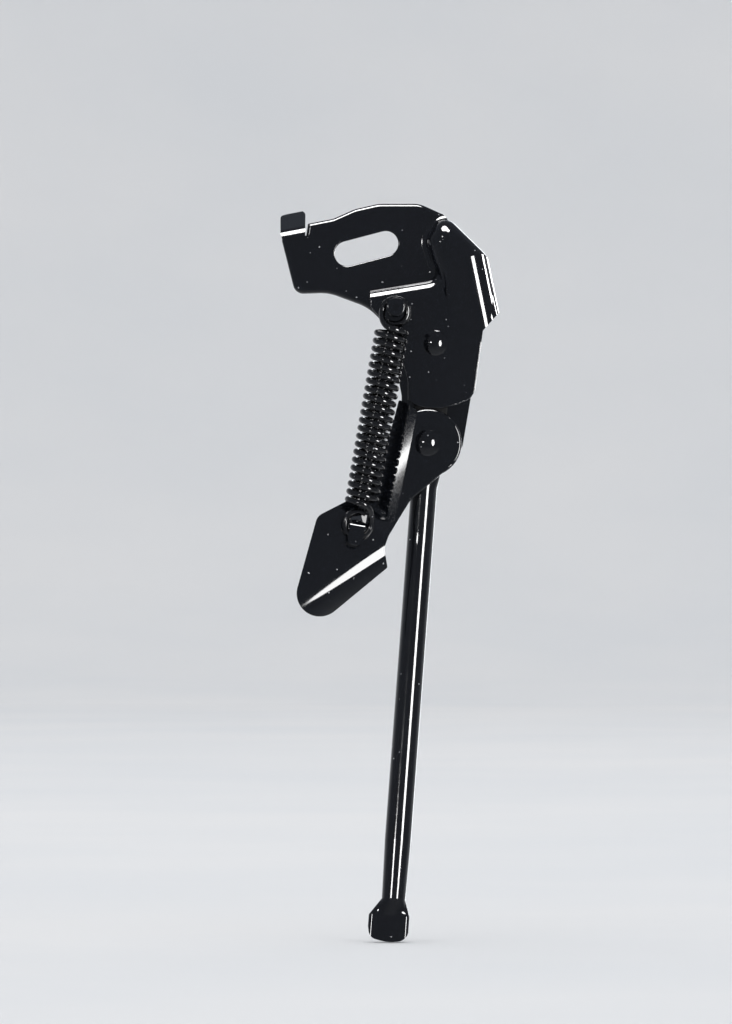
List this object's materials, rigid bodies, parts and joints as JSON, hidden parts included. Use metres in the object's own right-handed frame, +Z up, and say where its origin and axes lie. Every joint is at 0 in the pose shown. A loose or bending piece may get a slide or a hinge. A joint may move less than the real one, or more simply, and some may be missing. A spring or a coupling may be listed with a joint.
{
  "type": "bicycle kickstand",
  "caption": "Rear-axle bicycle side stand: slotted bracket, single folding leg with a flat foot, foot-operated lock lever and a return spring.",
  "frame": {"origin": "middle of the axle slot, on the bracket face that seats against the frame", "axes": "+X towards the rear of the bicycle, +Z up, -Y towards the outer side of the bicycle"},
  "size_m": [0.0921, 0.0421, 0.3094],
  "materials": {
    "black_paint": "gloss",
    "black_spring": "gloss"
  },
  "bodies": {
    "bracket": {"bracket": "black_paint", "leg_pivot_rivet": "black_paint"},
    "leg": {"leg": "black_paint", "lever_pivot_rivet": "black_paint"},
    "lever": {"lock_lever": "black_paint"},
    "pin": {"spring_pin": "black_paint"},
    "spring": {"return_spring": "black_spring"}
  },
  "joints": [
    {"name": "leg_fold", "type": "hinge", "parent": "bracket", "child": "leg", "pos_m": [0.0288, -0.0057, -0.0399], "axis": [0, -1, 0], "range_deg": [0, 88]},
    {"name": "lever_kick", "type": "hinge", "parent": "leg", "child": "lever", "pos_m": [0.02564, -0.0099, -0.08188], "axis": [0, -1, 0], "range_deg": [-5, 4], "stiffness_Nm_per_rad": 1, "springref_deg": -20.05},
    {"name": "spring_swing", "type": "hinge", "parent": "bracket", "child": "pin", "pos_m": [0.0123, -0.0099, -0.0252], "axis": [0, -1, 0], "range_deg": [0, 71.9]},
    {"name": "spring_stretch", "type": "slide", "parent": "pin", "child": "spring", "axis": [-0.1727, 0.0033, -0.985], "range_m": [0, 0.0122], "deforming": ["return_spring"]}
  ],
  "couplings": [
    {"joint": "spring_swing", "follows": "leg_fold", "ratio": 0.81104},
    {"joint": "spring_stretch", "follows": "leg_fold", "m_per_rad": 0.00775}
  ]
}
